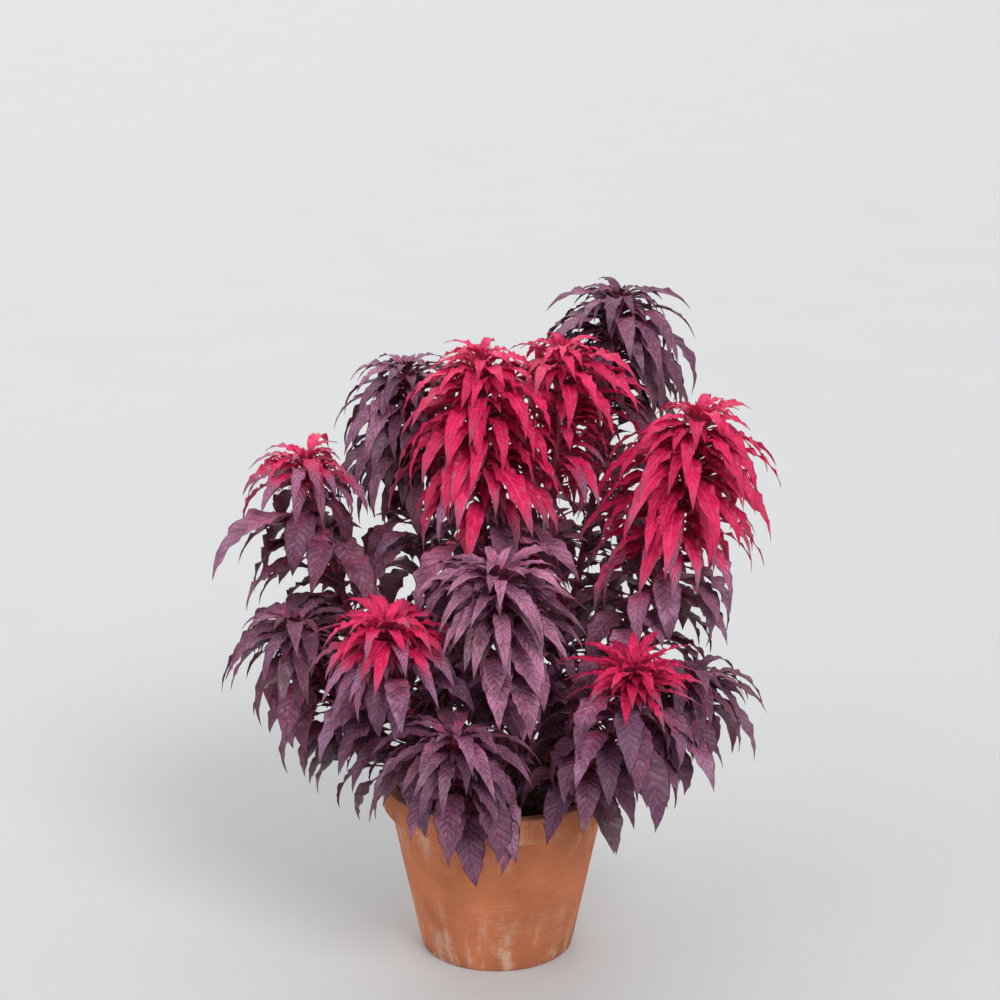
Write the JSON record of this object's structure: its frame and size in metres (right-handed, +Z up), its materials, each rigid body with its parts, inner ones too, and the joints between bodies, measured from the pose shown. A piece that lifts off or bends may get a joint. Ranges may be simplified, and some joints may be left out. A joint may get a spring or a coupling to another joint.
{
  "type": "potted josephs coat amaranth",
  "caption": "Bushy leafy amaranth in a plain round clay pot, with drooping plum-purple leaves and fountains of crimson leaves at the stem tips.",
  "frame": {"origin": "centre of the pot's underside, where the pot stands", "axes": "+Z up along the pot's axis, -Y towards the side the picture shows, +X to its right"},
  "size_m": [0.8678, 0.7849, 1.0524],
  "materials": {
    "pot": "matte",
    "soil": "matte",
    "crimson_leaf": "satin",
    "plum_leaf": "satin"
  },
  "bodies": {
    "root": {"pot": "pot", "soil": "soil", "right_stem": "plum_leaf", "right_fountain": "crimson_leaf", "centre_left_stem": "plum_leaf", "centre_left_fountain": "crimson_leaf", "centre_right_stem": "plum_leaf", "centre_right_fountain": "crimson_leaf", "back_right_stem": "plum_leaf", "back_right_fountain": "plum_leaf", "back_left_stem": "plum_leaf", "back_left_fountain": "plum_leaf", "far_left_stem": "plum_leaf", "far_left_fountain": "crimson_leaf", "front_right_stem": "plum_leaf", "front_right_fountain": "crimson_leaf", "front_left_stem": "plum_leaf", "front_left_fountain": "crimson_leaf", "front_centre_stem": "plum_leaf", "front_centre_fountain": "plum_leaf", "low_left_stem": "plum_leaf", "low_left_fountain": "plum_leaf", "low_back_stem": "plum_leaf", "low_back_fountain": "crimson_leaf", "low_right_stem": "plum_leaf", "low_right_fountain": "plum_leaf", "low_front_stem": "plum_leaf", "low_front_fountain": "plum_leaf"}
  },
  "joints": []
}
